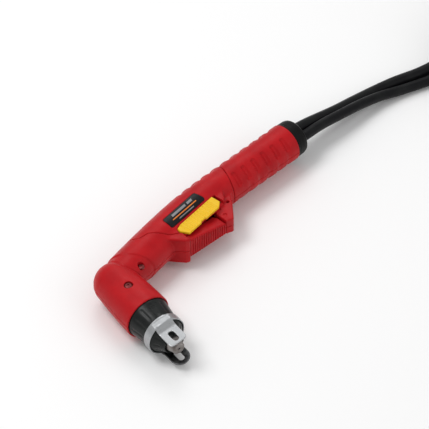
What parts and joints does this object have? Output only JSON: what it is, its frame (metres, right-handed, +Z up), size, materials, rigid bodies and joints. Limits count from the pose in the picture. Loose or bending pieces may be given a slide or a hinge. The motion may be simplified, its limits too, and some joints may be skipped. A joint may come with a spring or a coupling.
{
  "type": "plasma cutting torch",
  "caption": "Hand torch for plasma cutting with a bent head, safety catch, ribbed trigger, stand-off spacer and coiled leads.",
  "frame": {"origin": "on the surface the torch lies on, under the middle of the torch's own box, leads left out", "axes": "+X back along the handle towards the leads, -Y the way the nozzle points, +Z up, from the torch's right side to its left"},
  "size_m": [0.6726, 0.143, 0.0636],
  "materials": {
    "red_plastic": "moulded, slightly satin",
    "black_plastic": "moulded, satin",
    "yellow_plastic": "moulded, satin",
    "white_plastic": "plain",
    "brown_phenolic": "machined",
    "steel": "satin",
    "plated": "dull nickel plate",
    "brass": "machined",
    "copper": "plain copper",
    "rubber": "matt"
  },
  "bodies": {
    "handle": {"front_shell_left": "red_plastic", "mid_shell_left": "red_plastic", "grip_shell_left": "red_plastic", "front_shell_right": "red_plastic", "mid_shell_right": "red_plastic", "grip_shell_right": "red_plastic", "head_screw": "steel", "neck_screw": "steel", "rear_screw": "steel", "label_plate": "black_plastic", "trigger_pin": "steel", "trigger_spring": "steel", "micro_switch": "black_plastic", "torch_head": "brown_phenolic", "cathode_body": "brass", "electrode": "copper", "swirl_ring": "brown_phenolic", "head_o_ring": "rubber", "neck_tube": "copper", "lead_nut": "brass", "hose_ferrule": "brass", "cable_clamp": "black_plastic", "end_collar": "black_plastic", "switch_wire_a": "white_plastic", "switch_wire_b": "black_plastic", "power_lead": "rubber", "power_coil": "rubber", "power_tie_1": "black_plastic", "power_tie_2": "black_plastic", "power_tail": "rubber", "power_boot": "rubber", "power_fitting": "brass", "control_lead": "rubber", "control_coil": "rubber", "control_tie_1": "black_plastic", "control_tie_2": "black_plastic", "control_tail": "rubber", "control_boot": "rubber", "control_plug": "plated", "control_insert": "black_plastic"},
    "catch": {"safety_catch": "yellow_plastic", "catch_retainer": "steel"},
    "trigger": {"trigger": "red_plastic"},
    "plunger": {"switch_plunger": "white_plastic"},
    "tip": {"nozzle": "plated"},
    "cup": {"shield_cup": "black_plastic", "cup_insert": "brass"},
    "spacer": {"spacer": "steel"},
    "nut": {"power_nut": "brass"},
    "ring": {"control_ring": "plated"}
  },
  "joints": [
    {"name": "trigger_pull", "type": "hinge", "parent": "handle", "child": "trigger", "pos_m": [-0.0225, 0.02569, 0.02], "axis": [0, 0, 1], "range_deg": [0, 4.5], "stiffness_Nm_per_rad": 0.3, "springref_deg": -5.73},
    {"name": "plunger_press", "type": "slide", "parent": "handle", "child": "plunger", "axis": [0, 1, 0], "range_m": [0, 0.0015]},
    {"name": "catch_slide", "type": "slide", "parent": "handle", "child": "catch", "axis": [0.9936, 0.1132, 0], "range_m": [0, 0.0032]},
    {"name": "cup_travel", "type": "slide", "parent": "handle", "child": "tip", "axis": [-0.1668, -0.986, 0], "range_m": [0, 0.003]},
    {"name": "cup_turn", "type": "hinge", "parent": "tip", "child": "cup", "pos_m": [-0.10651, -0.02967, 0.02], "axis": [-0.1668, -0.986, 0], "range_deg": [0, 720]},
    {"name": "spacer_turn", "type": "hinge", "parent": "cup", "child": "spacer", "pos_m": [-0.10684, -0.03164, 0.02], "axis": [-0.1668, -0.986, 0], "continuous": true},
    {"name": "nut_spin", "type": "hinge", "parent": "handle", "child": "nut", "pos_m": [0.5196, 0.04948, 0.0541], "axis": [1, 0, 0], "continuous": true},
    {"name": "ring_turn", "type": "hinge", "parent": "handle", "child": "ring", "pos_m": [0.39073, -0.05431, 0.04652], "axis": [0, -1, 0], "range_deg": [0, 60]}
  ],
  "couplings": [
    {"joint": "plunger_press", "follows": "trigger_pull", "m_per_rad": 0.0165},
    {"joint": "cup_travel", "follows": "cup_turn", "m_per_rad": 0.00023873}
  ]
}
